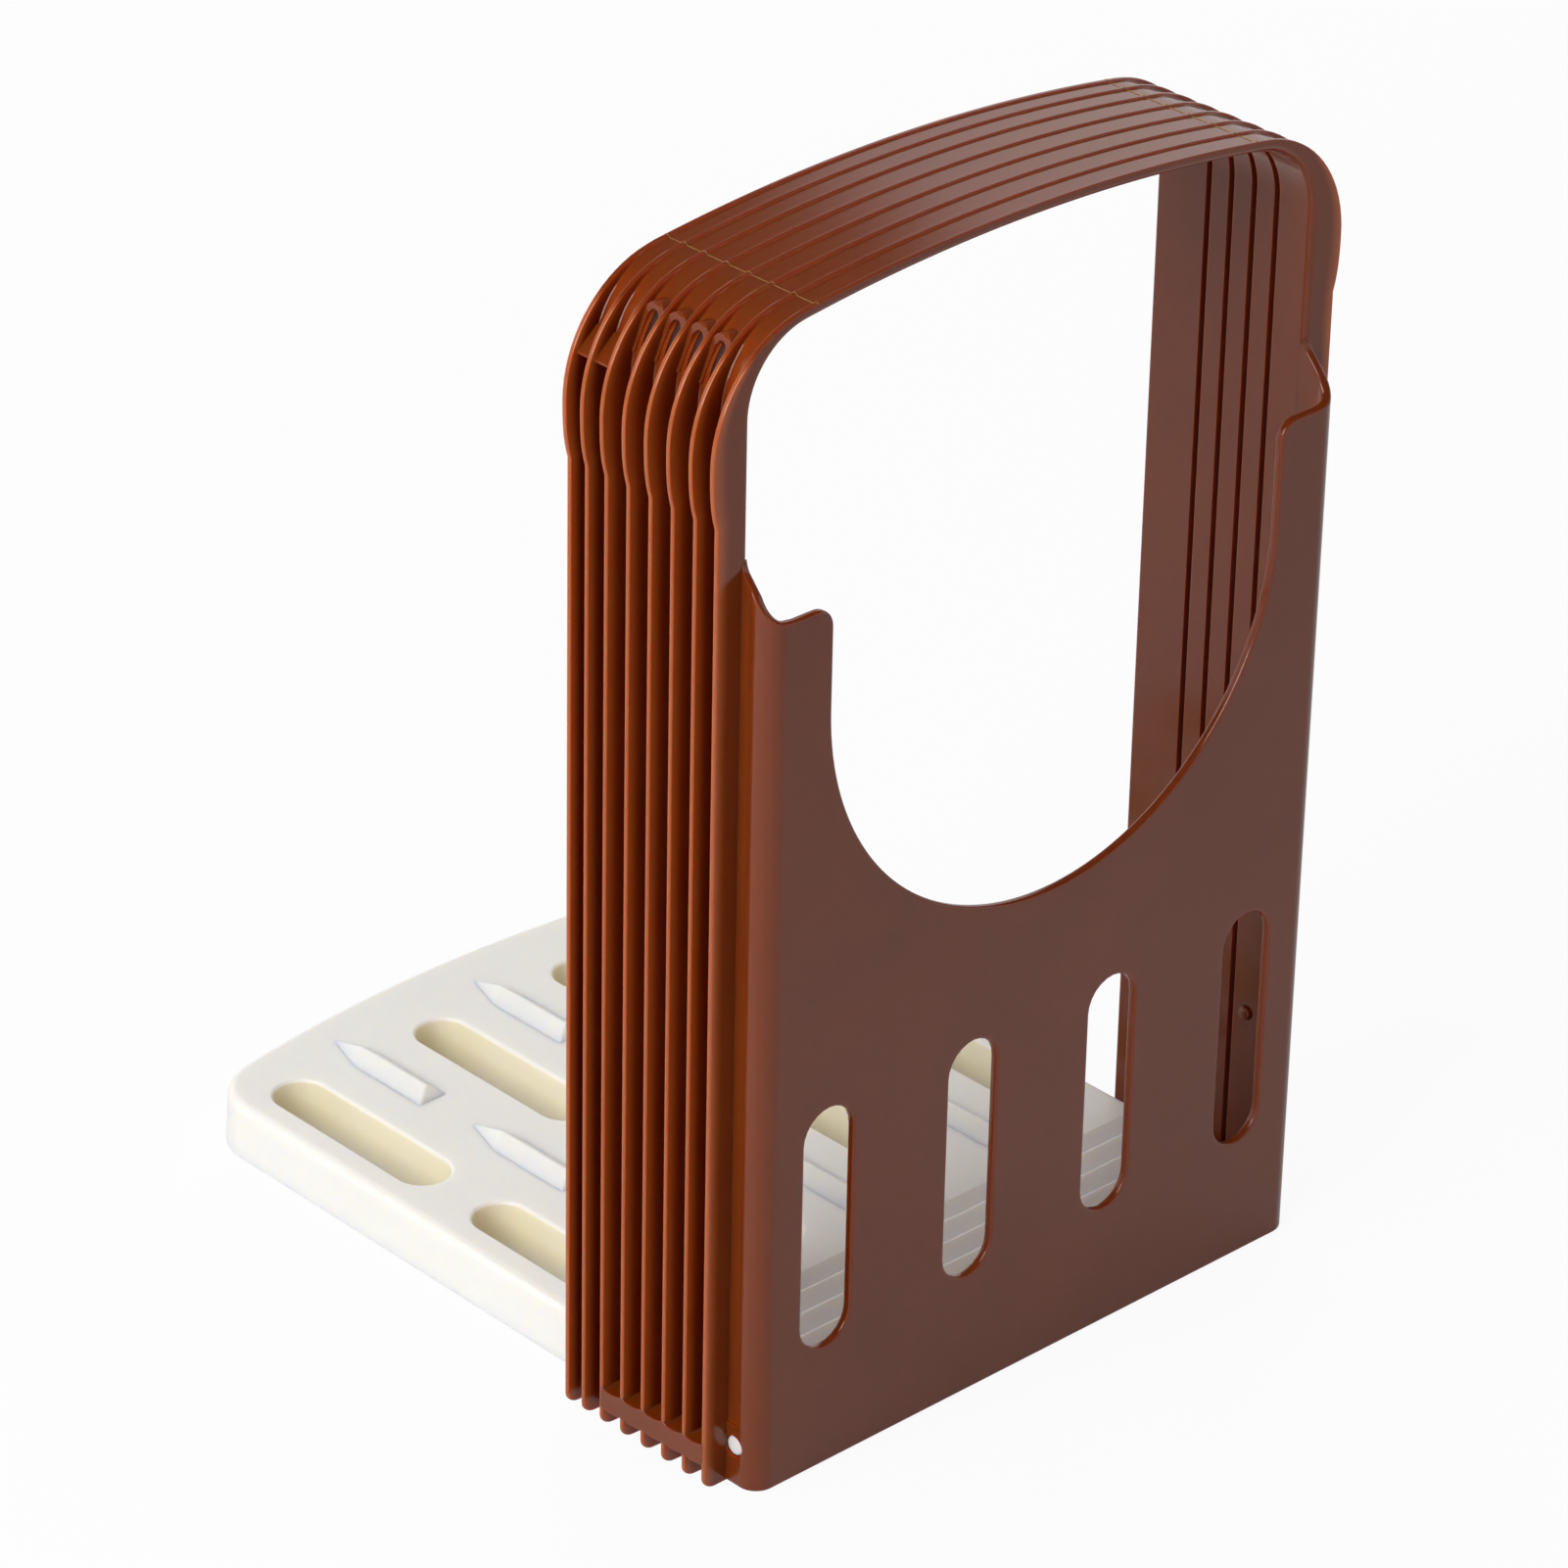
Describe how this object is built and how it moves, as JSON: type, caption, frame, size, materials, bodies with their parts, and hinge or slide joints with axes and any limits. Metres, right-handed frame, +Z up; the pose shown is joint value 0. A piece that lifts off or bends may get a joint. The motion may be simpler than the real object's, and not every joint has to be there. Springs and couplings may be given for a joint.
{
  "type": "bread slicing guide",
  "caption": "Folding bread slicing guide: finned arch with knife slots and an end panel, hinged to a barbed slotted tray.",
  "frame": {"origin": "on the table, under the middle of the open guide's bounding box", "axes": "+X across the guide, +Y from the end panel towards the tray's far end, +Z up"},
  "size_m": [0.1582, 0.1768, 0.2397],
  "materials": {
    "brown_plastic": "glossy reddish brown injection moulded plastic",
    "ivory_plastic": "satin ivory injection moulded plastic"
  },
  "bodies": {
    "frame": {"slicing_frame": "brown_plastic"},
    "tray": {"bread_tray": "ivory_plastic"}
  },
  "joints": [
    {"name": "tray_fold", "type": "hinge", "parent": "frame", "child": "tray", "pos_m": [0, -0.0824, 0.0086], "axis": [1, 0, 0], "range_deg": [0, 86.5]}
  ]
}
